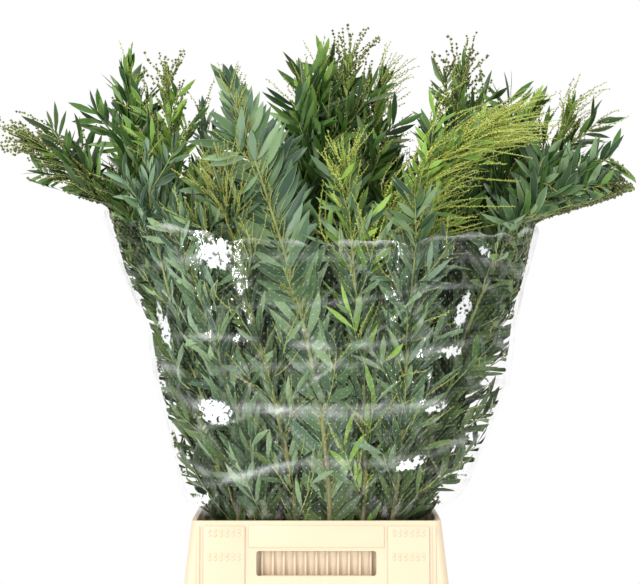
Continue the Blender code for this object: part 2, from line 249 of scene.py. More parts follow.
# Each stem: neck (x, y), tip, direction at the tip, leaf colour, colour mixed in,
# leaf length, leaf width, spacing of the leaves, their angle from the stem, how much they lie in one plane,
# bud colour, bud sprays for each metre of stem, their length, and the way they are swept
SPRAYS = {
    "far_left": ((-0.148, -0.005), (-0.487, -0.030, 0.905), (-1.0, 0.0, 0.30), "dark", "rich",
        0.060, 0.0115, 0.0095, 40, 0.3, "dark", 125, 0.056, (-0.7, 0.0, 0.1)),
    "left_small": ((-0.118, -0.070), (-0.264, -0.115, 0.901), (0.05, 0.0, 1.0), "blue", "sage",
        0.050, 0.0105, 0.0100, 32, 0.3, "olive", 12, 0.035, (0.0, 0.0, 0.3)),
    "left_tall": ((-0.128, -0.035), (-0.296, -0.020, 1.057), (0.15, 0.0, 1.0), "rich", "dark",
        0.060, 0.0135, 0.0078, 42, 0.3, "olive", 14, 0.040, (0.0, 0.0, 0.3)),
    "left_bright": ((-0.085, -0.050), (-0.236, -0.070, 1.026), (0.05, 0.0, 1.0), "young", "rich",
        0.052, 0.0105, 0.0125, 34, 0.3, "dark", 62, 0.052, (0.0, 0.0, 0.3)),
    "left_narrow": ((-0.045, -0.045), (-0.182, -0.030, 0.978), (0.02, 0.0, 1.0), "blue", "sage",
        0.044, 0.0085, 0.0100, 28, 0.4, "olive", 16, 0.040, (0.0, 0.0, 0.3)),
    "front_left_low": ((-0.078, -0.093), (-0.215, -0.165, 0.800), (-0.15, 0.0, 1.0), "sage", "blue",
        0.070, 0.0135, 0.0100, 42, 0.4, "olive", 30, 0.045, (-0.1, 0.0, 0.3)),
    "front_olive": ((-0.030, -0.095), (-0.152, -0.165, 0.870), (-0.10, 0.0, 1.0), "sage", "dark",
        0.058, 0.0115, 0.0135, 40, 0.4, "olive", 230, 0.052, (-0.1, -0.1, 0.4)),
    "front_main": ((0.020, -0.098), (-0.146, -0.160, 1.006), (-0.35, 0.0, 1.0), "sage", "blue",
        0.078, 0.0185, 0.0098, 52, 1.0, "olive", 170, 0.032, (0.2, -0.1, 0.5)),
    "front_centre": ((0.070, -0.092), (0.044, -0.150, 0.880), (-0.05, 0.0, 1.0), "sage", "young",
        0.066, 0.0120, 0.0125, 40, 0.5, "golden", 120, 0.058, (0.0, -0.1, 0.5)),
    "front_right_low": ((0.115, -0.085), (0.168, -0.165, 0.810), (0.20, 0.0, 1.0), "sage", "blue",
        0.070, 0.0130, 0.0100, 42, 0.4, "olive", 45, 0.048, (0.1, 0.0, 0.3)),
    "top_left": ((-0.005, -0.045), (-0.030, -0.015, 1.027), (-0.15, 0.0, 1.0), "rich", "sage",
        0.066, 0.0135, 0.0098, 46, 0.3, "olive", 30, 0.048, (-0.1, 0.0, 0.3)),
    "top_centre": ((-0.020, 0.000), (0.010, 0.020, 1.066), (0.05, 0.0, 1.0), "rich", "dark",
        0.070, 0.0140, 0.0088, 44, 0.3, "olive", 30, 0.048, (0.0, 0.0, 0.3)),
    "top_buds": ((0.045, -0.045), (0.056, 0.010, 1.065), (0.10, 0.0, 1.0), "rich", "dark",
        0.060, 0.0125, 0.0115, 40, 0.3, "dark", 75, 0.058, (0.1, 0.0, 0.3)),
    "top_right": ((0.040, 0.000), (0.118, 0.025, 1.032), (0.30, 0.0, 1.0), "rich", "dark",
        0.060, 0.0125, 0.0105, 42, 0.3, "olive", 85, 0.058, (0.4, 0.0, 0.2)),
    "right_golden": ((0.092, -0.050), (0.302, -0.130, 0.915), (1.0, 0.0, 0.10), "young", "rich",
        0.054, 0.0110, 0.0150, 40, 0.3, "golden", 205, 0.088, (1.0, 0.0, 0.1)),
    "right_tall": ((0.085, 0.000), (0.241, 0.030, 1.051), (0.10, 0.0, 1.0), "dark", "rich",
        0.058, 0.0120, 0.0100, 40, 0.3, "dark", 85, 0.056, (0.1, 0.0, 0.3)),
    "right_fan": ((0.135, -0.010), (0.367, 0.000, 0.982), (0.60, 0.0, 1.0), "rich", "dark",
        0.076, 0.0125, 0.0072, 44, 0.5, "olive", 22, 0.045, (0.3, 0.0, 0.2)),
    "far_right_tall": ((0.150, 0.018), (0.414, -0.010, 0.984), (0.15, 0.0, 1.0), "dark", "rich",
        0.056, 0.0115, 0.0100, 40, 0.4, "olive", 80, 0.056, (0.4, 0.0, 0.1)),
    "far_right_low": ((0.142, -0.055), (0.484, -0.090, 0.810), (1.0, 0.0, -0.90), "sage", "rich",
        0.066, 0.0150, 0.0085, 50, 0.7, "dark", 85, 0.056, (0.5, 0.0, -1.1)),
    "back_far_left": ((-0.130, 0.042), (-0.345, 0.080, 0.862), (-0.50, 0.1, 1.0), "rich", "dark",
        0.062, 0.0125, 0.0098, 42, 0.3, "olive", 60, 0.052, (-0.3, 0.2, 0.2)),
    "back_left": ((-0.090, 0.005), (-0.300, 0.150, 0.968), (-0.10, 0.1, 1.0), "dark", "rich",
        0.062, 0.0125, 0.0095, 42, 0.3, "dark", 60, 0.054, (-0.1, 0.2, 0.3)),
    "back_left_low": ((-0.082, 0.060), (-0.195, 0.210, 0.870), (-0.25, 0.3, 1.0), "sage", "rich",
        0.068, 0.0135, 0.0098, 44, 0.4, "olive", 60, 0.052, (-0.1, 0.4, 0.3)),
    "back_centre_left": ((-0.040, 0.092), (-0.085, 0.220, 0.905), (-0.05, 0.1, 1.0), "sage", "blue",
        0.078, 0.0140, 0.0098, 46, 0.6, "olive", 55, 0.048, (0.0, 0.3, 0.4)),
    "back_centre": ((0.000, 0.045), (0.022, 0.160, 0.992), (0.05, 0.1, 1.0), "rich", "sage",
        0.066, 0.0135, 0.0095, 44, 0.3, "golden", 70, 0.056, (0.0, 0.3, 0.3)),
    "back_low": ((0.045, 0.095), (0.070, 0.245, 0.868), (0.05, 0.2, 1.0), "sage", "rich",
        0.070, 0.0135, 0.0100, 44, 0.4, "golden", 95, 0.056, (0.0, 0.4, 0.4)),
    "back_centre_right": ((0.055, 0.045), (0.135, 0.165, 0.925), (0.10, 0.1, 1.0), "rich", "dark",
        0.064, 0.0130, 0.0100, 42, 0.3, "olive", 60, 0.052, (0.1, 0.3, 0.3)),
    "back_right": ((0.105, 0.045), (0.250, 0.140, 0.977), (0.10, 0.1, 1.0), "dark", "rich",
        0.060, 0.0125, 0.0098, 42, 0.3, "dark", 70, 0.054, (0.1, 0.2, 0.3)),
    "back_right_low": ((0.100, 0.080), (0.215, 0.210, 0.865), (0.30, 0.3, 1.0), "sage", "young",
        0.066, 0.0130, 0.0100, 42, 0.4, "golden", 90, 0.058, (0.3, 0.4, 0.2)),
    "back_far_right": ((0.138, 0.052), (0.360, 0.090, 0.905), (0.50, 0.1, 1.0), "rich", "dark",
        0.062, 0.0125, 0.0098, 42, 0.3, "olive", 70, 0.054, (0.4, 0.2, 0.1)),
}

# Three tints of each leaf and bud colour, and the paler margin of each leaf colour
LEAF_TINTS = {
    "sage": ((0.058, 0.112, 0.044), (0.140, 0.215, 0.105), (0.018, 0.046, 0.016), (0.16, 0.23, 0.10)),
    "blue": ((0.055, 0.106, 0.056), (0.130, 0.200, 0.122), (0.017, 0.043, 0.021), (0.15, 0.22, 0.12)),
    "rich": ((0.040, 0.100, 0.017), (0.100, 0.190, 0.040), (0.014, 0.044, 0.008), (0.11, 0.18, 0.04)),
    "dark": ((0.032, 0.064, 0.015), (0.075, 0.125, 0.034), (0.013, 0.028, 0.007), (0.09, 0.13, 0.035)),
    "young": ((0.130, 0.245, 0.032), (0.190, 0.320, 0.055), (0.080, 0.165, 0.023), (0.29, 0.38, 0.09)),
}
BUD_TINTS = {
    "golden": ((0.30, 0.34, 0.045), (0.40, 0.42, 0.080), (0.19, 0.24, 0.032)),
    "olive": ((0.19, 0.20, 0.042), (0.28, 0.28, 0.070), (0.11, 0.125, 0.028)),
    "dark": ((0.085, 0.095, 0.026), (0.130, 0.130, 0.040), (0.048, 0.054, 0.018)),
}
MARGIN_TINT = 3

# The leaf's outline: share of its length, share of its half width there
LEAF_OUTLINE = ((0.0, 0.08), (0.15, 0.52), (0.40, 0.95), (0.62, 1.00), (0.84, 0.56), (1.0, 0.03))
LEAF_ACROSS = (-1.0, -0.90, 0.0, 0.90, 1.0)

# The camera stands as far off as the photograph's was taken to be
CAMERA_DISTANCE = 4.0
CAMERA_PLACE = (0.0056, -CAMERA_DISTANCE, 0.655)
SENSOR = 36.0
METRES_PER_PIXEL = 1.61e-3
FRAME_WIDTH = 640 * METRES_PER_PIXEL

# Soft lights: place, width and height, share of the main light's power
LIGHTS = {
    "key": ((-1.6, -2.2, 2.3), (0.7, 1.0), 1.0),
    "left_strip": ((-1.7, -1.9, 0.5), (0.20, 1.1), 0.40),
    "right_strip": ((1.5, -2.1, 0.6), (0.20, 1.2), 0.40),
    "top": ((0.3, -0.2, 2.8), (0.9, 0.9), 0.9),
}
LIT_PLACE = (0.0, 0.0, 0.6)
FLOOR_CORNERS = 96


class Value:
    """A shader socket that can be written in Python sums."""

    def __init__(self, builder, socket):
        self.builder = builder
        self.socket = socket

    def _maths(self, operation, first, second):
        return self.builder.node("ShaderNodeMath", {"operation": operation}, {0: first, 1: second})

    def __add__(self, other):
        return self._maths("ADD", self, other)

    def __sub__(self, other):
        return self._maths("SUBTRACT", self, other)

    def __mul__(self, other):
        return self._maths("MULTIPLY", self, other)

    def __rsub__(self, other):
        return self._maths("SUBTRACT", other, self)

    def __lt__(self, other):
        return self._maths("LESS_THAN", self, other)

    def clamped(self):
        return self.builder.node("ShaderNodeClamp", {}, {"Value": self})

    __radd__ = __add__
    __rmul__ = __mul__


class Finish:
    """A material and the nodes that make it."""

    def __init__(self, name):
        self.material = bpy.data.materials.new(name)
        self.material.use_nodes = True
        self.tree = self.material.node_tree
        self.shader = self.tree.nodes["Principled BSDF"]
        self.output = self.tree.nodes["Material Output"]

    def node(self, kind, settings, given, result=0):
        """Adds a node, sets it, fills its sockets with values or links, and returns one of its outputs."""
        made = self.tree.nodes.new(kind)
        for name, value in settings.items():
            setattr(made, name, value)
        self.fill(made, given)
        return Value(self, made.outputs[result])

    def fill(self, node, given):
        for name, value in given.items():
            if isinstance(value, Value):
                self.tree.links.new(value.socket, node.inputs[name])
            else:
                node.inputs[name].default_value = value

    def plain(self, colour, roughness, **other):
        self.fill(self.shader, {"Base Color": (*colour, 1.0), "Roughness": roughness, **other})
        return self.material

    def place(self):
        return self.node("ShaderNodeTexCoord", {}, {}, "Object")

    def noise(self, scale, detail=2.0, where=None):
        given = {"Vector": where or self.place(), "Scale": scale, "Detail": detail}
        return self.node("ShaderNodeTexNoise", {}, given, "Fac")

    def blend(self, share, first, second):
        """Mixes two colours. They are the Mix node's sockets 6 and 7, and its result is output 2."""
        return self.node("ShaderNodeMix", {"data_type": "RGBA"}, {0: share, 6: first, 7: second}, 2)

    def bump(self, height, strength, distance):
        given = {"Height": height, "Strength": strength, "Distance": distance}
        return self.node("ShaderNodeBump", {}, given)


# Settings that a user would change


def length_setting(name, description, default, low):
    return bpy.props.FloatProperty(
        name=name, description=description, default=default, min=low, unit="LENGTH",
    )


def colour_setting(name, description, default):
    return bpy.props.FloatVectorProperty(
        name=name, description=description, default=default, subtype="COLOR", size=3, min=0.0, max=1.0,
    )


class TubSettings(bpy.types.PropertyGroup):
    colour: colour_setting("Plastic", "Colour of the tub", (0.53, 0.425, 0.300))
    edge: length_setting("Edge radius", "Rounding of the tub's edges", 0.0011, 0.0)


class FilmSettings(bpy.types.PropertyGroup):
    across: bpy.props.IntProperty(
        name="Points round", description="Points round the sleeve", default=300, min=32,
    )
    up: bpy.props.IntProperty(name="Points up", description="Points up the sleeve", default=110, min=8)
    crease: length_setting("Crease depth", "Depth of the film's folds", 0.0055, 0.0)
    hole_spacing: length_setting("Hole spacing", "Spacing of the film's small holes", 0.0115, 0.001)
    clearness: bpy.props.FloatProperty(
        name="Clearness", description="Share of the light that the film lets straight through",
        default=0.994, min=0.0, max=1.0, subtype="FACTOR",
    )


class GrowthSettings(bpy.types.PropertyGroup):
    seed: bpy.props.IntProperty(name="Seed", description="Seed of the growth", default=14, min=0)
    stem_radius: length_setting("Stem radius", "Radius of a stem at its cut end", 0.0052, 0.001)
    stem_tip: length_setting("Tip radius", "Radius of a stem at its tip", 0.0009, 0.0001)
    ridge: length_setting("Bark ridge", "Height of the ridges on the bark", 0.00035, 0.0)
    bark: colour_setting("Bark", "Colour of the lower bark", (0.17, 0.145, 0.060))
    shoot: colour_setting("Shoot", "Colour of young bark and twigs", (0.22, 0.28, 0.085))
    bud_radius: length_setting("Bud radius", "Radius of a flower bud", 0.00155, 0.0002)


class StageSettings(bpy.types.PropertyGroup):
    sky: bpy.props.FloatProperty(
        name="Sky", description="Strength of the white surround", default=1.0, min=0.0,
    )
    key: bpy.props.FloatProperty(
        name="Key", description="Power of the main light", default=62.0, min=0.0,
    )
    floor: length_setting("Floor radius", "Radius of the floor", 1.45, 0.5)


# Helpers for meshes


def deselect():
    if bpy.context.object and bpy.context.object.mode != "OBJECT":
        bpy.ops.object.mode_set(mode="OBJECT")
    bpy.ops.object.select_all(action="DESELECT")


def alone(piece):
    deselect()
    piece.select_set(True)
    bpy.context.view_layer.objects.active = piece


def settle(piece):
    """Puts a piece's place, turn and scale into its mesh."""
    alone(piece)
    bpy.ops.object.transform_apply(location=True, rotation=True, scale=True)


def apply_modifiers(piece):
    alone(piece)
    for change in list(piece.modifiers):
        bpy.ops.object.modifier_apply(modifier=change.name)


def join(pieces, name):
    deselect()
    for piece in pieces:
        piece.select_set(True)
    bpy.context.view_layer.objects.active = pieces[0]
    bpy.ops.object.join()
    made = bpy.context.object
    made.name = name
    made.data.name = name
    return made


def hand_over(piece, replaced=()):
    """Says what the piece rides on and which nodes of the frame it stands for."""
    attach(piece, BODY)
    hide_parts(*replaced)


def mesh_piece(name, points, faces, materials, tints=None):
    """One object from arrays of points and faces, all with as many corners."""
    mesh = bpy.data.meshes.new(name)
    points = np.asarray(points, np.float32).reshape(-1, 3)
    faces = np.asarray(faces, np.int32)
    corners = faces.shape[1]
    mesh.vertices.add(len(points))
    mesh.vertices.foreach_set("co", points.ravel())
    mesh.loops.add(faces.size)
    mesh.loops.foreach_set("vertex_index", faces.ravel())
    mesh.polygons.add(len(faces))
    mesh.polygons.foreach_set("loop_start", np.arange(0, faces.size, corners, dtype=np.int32))
    mesh.polygons.foreach_set("use_smooth", np.full(len(faces), True))
    for material in materials:
        mesh.materials.append(material)
    if tints is not None:
        mesh.polygons.foreach_set("material_index", np.asarray(tints, np.int32))
    mesh.update(calc_edges=True)
    made = bpy.data.objects.new(name, mesh)
    bpy.context.scene.collection.objects.link(made)
    return made


# Sums on arrays of points


def unit(vectors):
    return vectors / np.maximum(np.linalg.norm(vectors, axis=-1, keepdims=True), 1e-9)


def line_length(line):
    return np.linalg.norm(np.diff(line, axis=0), axis=1).sum()


def smoothstep(value):
    value = np.clip(value, 0.0, 1.0)
    return value * value * (3.0 - 2.0 * value)


# The sleeve's section


def sleeve_section(height):
    """Left, right, front, back and squareness of the sleeve at each height, carried on above its top."""
    heights = np.array(sorted(SLEEVE_LEVELS))
    rows = np.array([SLEEVE_LEVELS[level] for level in heights])
    return [np.interp(height, heights, rows[:, column]) for column in range(5)]


def mouth_height(angle):
    """Height of the sleeve's mouth at each angle round it, smoothly between its four named heights."""
    quarter = (angle / (math.pi / 2)) % 4.0
    here = np.floor(quarter).astype(int) % 4
    ends = np.array(MOUTH)
    share = smoothstep(quarter - np.floor(quarter))
    return ends[here] + (ends[(here + 1) % 4] - ends[here]) * share


def keep_inside(points, clear=FILM_CLEAR):
    """Moves each point outside the film, or outside its opening carried on upwards, back inside it."""
    x, y, z = points[..., 0], points[..., 1], points[..., 2]
    left, right, front, back, squareness = sleeve_section(z)
    angle = np.arctan2(y, x)
    above = np.maximum(z - mouth_height(angle) - MOUTH_CLEAR, 0.0) * MOUTH_FLARE
    half_x = np.where(x > 0, right, left) - clear + above
    half_y = np.where(y > 0, back, front) - clear + above
    reach = ((np.abs(x) / half_x) ** squareness + (np.abs(y) / half_y) ** squareness) ** (1 / squareness)
    pull = np.where(reach > 1.0, 1.0 / np.maximum(reach, 1e-6), 1.0)
    kept = points.copy()
    kept[..., 0] = x * pull
    kept[..., 1] = y * pull
    return np.clip(kept, np.array(CAD_BOX[0]) - BOX_SPARE, np.array(CAD_BOX[1]) + BOX_SPARE)


# Growth


def stem_curve(spray):
    """Points along a stem's bare part from its cut foot up, and along its leafy part to its tip."""
    neck = np.array([*spray.neck, LEAVES_START])
    foot = np.array([spray.neck[0] * FOOT_SPREAD, spray.neck[1] * FOOT_SPREAD, FOOT_LEVEL])
    tip = np.array(spray.tip)
    length = np.linalg.norm(tip - neck)
    leave = unit(neck - foot) * length
    arrive = unit(np.array(spray.direction, float)) * length
    below = foot + (neck - foot) * np.linspace(0.0, 1.0, BARE_RINGS + 1)[:-1, None]
    share = np.linspace(0.0, STEM_END, STEM_RINGS - BARE_RINGS)[:, None]
    square, cube = share**2, share**3
    above = (
        neck * (2 * cube - 3 * square + 1)
        + leave * (cube - 2 * square + share)
        + tip * (3 * square - 2 * cube)
        + arrive * (cube - square)
    )
    return below, above


def crossways(along):
    """Two directions across each direction, the first of them square to the way from front to back."""
    backwards = np.array([0.0, 1.0, 0.0])
    across = unit(np.cross(backwards, along))
    return across, unit(np.cross(along, across))


def along_line(line, share):
    """The point at a share of the way along a line, and the line's direction there."""
    place = share * (len(line) - 1)
    here = min(int(place), len(line) - 2)
    point = line[here] + (line[here + 1] - line[here]) * (place - here)
    return point, unit(line[here + 1] - line[here])


NUMBERS_OF_LEAF = ("base", "way", "side", "length", "width", "bend", "sickle")
Leaf = namedtuple("Leaf", (*NUMBERS_OF_LEAF, "colour", "tint"))
Strand = namedtuple("Strand", "points radius colour")


class Growth:
    """Everything that grows on the stems, worked out once from the seed."""

    def __init__(self, settings):
        self.rng = np.random.default_rng(settings.seed)
        self.bud_radius = settings.bud_radius
        self.stems = []
        self.twigs = []
        self.leaves = []
        self.strands = []
        for spray in SPRAYS.values():
            self.grow_stem(Spray(*spray))

    def between(self, low, high):
        return float(self.rng.uniform(low, high))

    def grow_stem(self, spray):
        """One stem, its own leaves and bud sprays, and its side twigs in a spiral."""
        below, above = stem_curve(spray)
        self.stems.append(np.concatenate([below, above]))
        self.dress(spray, above, spray.every, 1.0)
        crowding = FLAT_TWIGS if spray.flat >= 1.0 else 1.0
        count = int(line_length(above) * TWIGS_PER_METRE * crowding)
        turn = self.between(0.0, ONE_TURN)
        for index in range(count):
            share = FIRST_TWIG + TWIG_SPAN * (index + self.between(0.1, 0.9)) / count
            turn += GOLDEN_ANGLE + self.between(-0.4, 0.4)
            self.grow_twig(spray, above, share, turn)

    def grow_twig(self, spray, line, share, turn):
        """A side twig with smaller leaves, which bends up along the stem and is shorter near the tip."""
        base, along = along_line(line, share)
        across, other = crossways(along)
        out = across * math.cos(turn) * 1.15 + other * math.sin(turn) * 0.85
        longest, shorter = TWIG_SHORTENING
        length = self.between(*TWIG_LENGTHS) * (longest - shorter * share)
        start = unit(along + 0.85 * out)
        end = unit(along + 0.45 * out + np.array(spray.sweep) * 0.25 + self.rng.normal(0, 0.10, 3))
        steps = np.linspace(0.0, 1.0, TWIG_RINGS)[:, None]
        points = base + length * (start * steps + (end - start) * steps**2 * 0.5)
        points = keep_inside(points, TWIG_CLEAR)
        self.twigs.append(points)
        self.dress(spray, points, spray.every * TWIG_LEAF_SPACING, TWIG_LEAF_SIZE)

    def dress(self, spray, line, every, size):
        """Leaves and bud sprays along a stem, where the leaves' size is 1, or along a twig."""
        on_stem = size == 1.0
        in_plane = on_stem and spray.flat >= 1.0
        squash = 1.0 - 0.5 * spray.flat
        count = max(int(line_length(line) / every * LEAF_CROWDING), FEWEST_LEAVES)
        turn = self.between(0.0, ONE_TURN)
        for index in range(count + 1):
            share = max(min((index + self.between(-0.2, 0.2)) / count, 1.0), 0.0)
            base, along = along_line(line, share)
            across, other = crossways(along)
            if in_plane:
                turn = (index % 2) * math.pi + self.between(-0.55, 0.55) - 0.25
            else:
                turn += GOLDEN_ANGLE + self.between(-0.25, 0.25)
            turns = [turn]
            if on_stem or base[2] > CROWN_FROM:
                turns.append(turn + (math.pi if in_plane else SECOND_LEAF))
            for angle in turns:
                out = unit(across * math.cos(angle) + other * math.sin(angle) * squash)
                self.grow_leaf(spray, base, along, out, share if on_stem else 0.5, size)
            wanted = spray.blossom * every
            if base[2] < BUDS_FREE_FROM:
                wanted *= FLAT_SLEEVE_BUDS if spray.flat >= 1.0 else SLEEVE_BUDS
            wanted *= 1.0 + TIP_BUDS * smoothstep((share - 0.78) / 0.20) if on_stem else TWIG_BUDS
            while wanted > 0:
                if self.rng.random() < wanted:
                    self.grow_strand(spray, base, along, turn)
                wanted -= 1.0

    def grow_leaf(self, spray, base, along, out, share, size):
        """One leaf, which is shorter and lies closer to its stem towards the stem's tip."""
        pressed = PRESSED if base[2] < PRESSED_BELOW else 1.0
        closing = 1.0 - 0.62 * smoothstep((share - 0.80) / 0.20)
        angle = math.radians(spray.angle * pressed * closing + self.between(-8.0, 8.0))
        way = along * math.cos(angle) + out * math.sin(angle)
        side = out * math.cos(angle) - along * math.sin(angle)
        face = np.cross(way, side)
        twist = self.between(-0.55, 0.55) * (0.6 if spray.flat >= 1.0 else 1.3)
        side = unit(side * math.cos(twist) + face * math.sin(twist))
        grown = 1.0 - 0.50 * smoothstep((share - 0.78) / 0.22)
        length = spray.length * LEAF_STRETCH * size * grown * self.between(0.82, 1.14)
        width = spray.width * LEAF_SLIMNESS * (0.55 + 0.45 * size) * (0.6 + 0.4 * grown)
        width *= self.between(0.86, 1.12)
        colour = spray.leaf if self.rng.random() < OWN_COLOUR_SHARE else spray.mixed
        if share > 0.90 and colour in ("rich", "dark") and self.rng.random() < YOUNG_SHARE:
            colour = "young"
        # Painted shade: leaves low in the middle of the sleeve take the dark colour.
        if base[2] < SHADED_BELOW and abs(base[1]) < SHADED_DEPTH and colour != "young":
            colour = "dark"
        tint = int(self.rng.choice(len(LEAF_TINT_SHARES), p=LEAF_TINT_SHARES))
        bend = self.between(-0.06, 0.20)
        sickle = self.between(-0.16, 0.10)
        self.leaves.append(Leaf(base, way, side, length, width, bend, sickle, colour, tint))

    def grow_strand(self, spray, base, along, turn):
        """One thin bud spray, curved the way its stem sweeps it."""
        across, other = crossways(along)
        angle = turn + self.between(-0.9, 0.9)
        out = across * math.cos(angle) + other * math.sin(angle)
        start = unit(along + self.between(0.45, 1.05) * out)
        swept = along * 0.55 + 0.5 * out + np.array(spray.sweep) * 1.5
        end = unit(swept + self.rng.normal(0, 0.24, 3))
        length = spray.strand * self.between(0.70, 1.15)
        steps = np.linspace(0.0, 1.0, STRAND_RINGS)[:, None]
        bent = start * (steps - 0.5 * steps**2) + end * 0.5 * steps**2 + end * 0.25 * steps**3
        radius = self.bud_radius * BUD_SIZES[spray.buds] * self.between(0.80, 1.15)
        points = keep_inside(base + length * bent, STRAND_CLEAR)
        self.strands.append(Strand(points, radius, spray.buds))


def tubes(lines, radii, sides):
    """Tubes of the same taper round lines: points by line, ring and side, faces, and the ways outwards."""
    lines = np.asarray(lines)
    across, other = crossways(unit(np.gradient(lines, axis=1)))
    angles = 2 * math.pi * np.arange(sides) / sides
    around = (
        across[:, :, None, :] * np.cos(angles)[None, None, :, None]
        + other[:, :, None, :] * np.sin(angles)[None, None, :, None]
    )
    points = lines[:, :, None, :] + around * radii[:, None, None]
    count, rings = lines.shape[:2]
    index = np.arange(count * rings * sides).reshape(count, rings, sides)
    lower, upper = index[:, :-1], index[:, 1:]
    faces = np.stack([lower, np.roll(lower, -1, 2), np.roll(upper, -1, 2), upper], -1)
    return points, faces.reshape(-1, 4), around


# Finishes


def tint_finishes(kind, tints, roughness):
    """One plain finish for each tint of a leaf or bud colour."""
    return [
        Finish(f"{kind}_{index}").plain(tint, roughness, **{"Specular IOR Level": 0.32})
        for index, tint in enumerate(tints)
    ]


def bark_finish(settings):
    """Ridged bark that turns from tan at the cut end to green at the tips."""
    made = Finish("stem_bark")
    where = made.place()
    height = made.node("ShaderNodeSeparateXYZ", {}, {"Vector": where}, "Z")
    stretched = made.node("ShaderNodeMapping", {}, {"Vector": where, "Scale": (1.0, 1.0, 0.12)})
    ridges = made.noise(900.0, 3.0, stretched)
    flecks = made.noise(160.0, 2.0)
    young = ((height - 0.28) * 2.6 + flecks * 0.3).clamped()
    colour = made.blend(young, (*settings.bark, 1.0), (*settings.shoot, 1.0))
    darker = made.blend((ridges * 0.55).clamped(), colour, (0.09, 0.075, 0.032, 1.0))
    bumped = made.bump(ridges, 0.6, 0.0006)
    made.fill(made.shader, {"Base Color": darker, "Roughness": 0.62, "Normal": bumped})
    return made.material


def plastic_finish(settings):
    """Moulded cream plastic with a faint grain and slightly duller patches."""
    made = Finish("cream_plastic")
    patches = made.noise(9.0, 3.0)
    grain = made.noise(900.0, 2.0)
    tone = made.blend((patches * 0.45).clamped(), (*settings.colour, 1.0), (0.46, 0.35, 0.235, 1.0))
    rough = patches * 0.14 + 0.36
    bumped = made.bump(grain, 0.12, 0.0003)
    made.fill(made.shader, {"Base Color": tone, "Roughness": rough, "Normal": bumped})
    return made.material


def film_finish(settings):
    """Clear film that lets most light through, with a pale haze in its creases that is partly painted
    streak highlight, painted glints, and small pricked holes with painted highlights on their rims.
    """
    made = Finish("clear_film")
    laid = made.node("ShaderNodeUVMap", {"uv_map": "film"}, {})
    turned = made.node("ShaderNodeMapping", {}, {"Vector": laid, "Rotation": (0.0, 0.0, math.radians(45))})
    holes = made.node(
        "ShaderNodeTexVoronoi",
        {"voronoi_dimensions": "2D", "feature": "F1"},
        {"Vector": turned, "Scale": math.sqrt(2.0) / settings.hole_spacing, "Randomness": 0.0},
        "Distance",
    )
    # The holes are painted pale as highlight on their rims.
    dots = holes < HOLE_SIZE
    # The crease attribute gives pale haze that is partly painted streak highlight.
    creased = made.node("ShaderNodeAttribute", {"attribute_name": "crease"}, {}, "Fac")
    painted_glint_mask = made.node("ShaderNodeAttribute", {"attribute_name": "painted_glint"}, {}, "Fac")
    patches = ((made.noise(16.0, 4.0) - 0.36) * 3.2).clamped()
    speckle = made.noise(165.0, 4.0) - made.noise(60.0, 2.0) * 0.6
    # Painted highlight: the glint whitens the film in speckled patches at the named places.
    glint = ((painted_glint_mask + speckle * 2.8 - 1.15) * 5.0).clamped() * (painted_glint_mask * 2.6 - 0.55).clamped()
    haze = creased * patches * CREASE_HAZE_AND_HIGHLIGHT + glint * GLINT_HAZE + dots * HOLE_RIM_HIGHLIGHT
    cover = (haze + (1.0 - settings.clearness)).clamped()
    bumped = made.bump(made.noise(42.0, 3.0), 0.55, 0.004)
    given = {
        "Base Color": (0.95, 0.97, 0.97, 1.0),
        "Roughness": 0.10,
        "Metallic": 0.60,
        "Specular IOR Level": 0.9,
        "Normal": bumped,
    }
    made.fill(made.shader, given)
    through = made.node("ShaderNodeBsdfTransparent", {}, {})
    hazy = Value(made, made.shader.outputs["BSDF"])
    mixed = made.node("ShaderNodeMixShader", {}, {"Fac": cover, 1: through, 2: hazy})
    made.tree.links.new(mixed.socket, made.output.inputs["Surface"])
    return made.material


# The tub


def carry_on(height, size):
    """Extrudes the selected outline to another height and another size."""
    shape = bmesh.from_edit_mesh(bpy.context.object.data)
    points = [vertex.co.copy() for vertex in shape.verts if vertex.select]
    bpy.ops.mesh.extrude_region_move(TRANSFORM_OT_translate={"value": (0.0, 0.0, height - points[0].z)})
    half_x, half_y = max(point.x for point in points), max(point.y for point in points)
    scale = (size[0] / 2 / half_x, size[1] / 2 / half_y, 1.0)
    bpy.ops.transform.resize(value=scale, center_override=(0.0, 0.0, height))


def less(size, by):
    return (size[0] - 2 * by, size[1] - 2 * by)


def make_shell():
    """The tub's wall, its floor and the skirt that turns down from its rim, drawn out of one outline."""
    deselect()
    bpy.ops.mesh.primitive_plane_add(size=1.0, location=(0.0, 0.0, TUB_HEIGHT))
    shell = bpy.context.object
    shell.scale = (*TUB_RIM, 1.0)
    settle(shell)
    bpy.ops.object.mode_set(mode="EDIT")
    bpy.ops.mesh.select_all(action="SELECT")
    bpy.ops.mesh.bevel(affect="VERTICES", offset=RIM_CORNER, segments=CORNER_SEGMENTS)
    bpy.ops.mesh.select_mode(type="FACE")
    bpy.ops.mesh.select_all(action="SELECT")
    bpy.ops.mesh.inset(thickness=RIM_WIDTH, depth=0.0)
    carry_on(TUB_FLOOR, less(TUB_FOOT, TUB_WALL))
    bpy.ops.mesh.select_mode(type="EDGE")
    bpy.ops.mesh.select_all(action="DESELECT")
    shape = bmesh.from_edit_mesh(shell.data)
    for edge in shape.edges:
        edge.select_set(edge.is_boundary)
    bmesh.update_edit_mesh(shell.data)
    skirt_foot = TUB_HEIGHT - SKIRT_DEPTH
    under_rim = TUB_HEIGHT - TUB_WALL
    carry_on(skirt_foot, TUB_SKIRT)
    carry_on(skirt_foot, less(TUB_SKIRT, TUB_WALL))
    carry_on(under_rim, less(TUB_RIM, TUB_WALL))
    carry_on(under_rim, less(TUB_RIM, RIM_WIDTH - TUB_WALL))
    carry_on(0.0, TUB_FOOT)
    bpy.ops.mesh.edge_face_add()
    bpy.ops.mesh.select_all(action="SELECT")
    bpy.ops.mesh.normals_make_consistent(inside=False)
    bpy.ops.object.mode_set(mode="OBJECT")
    return shell


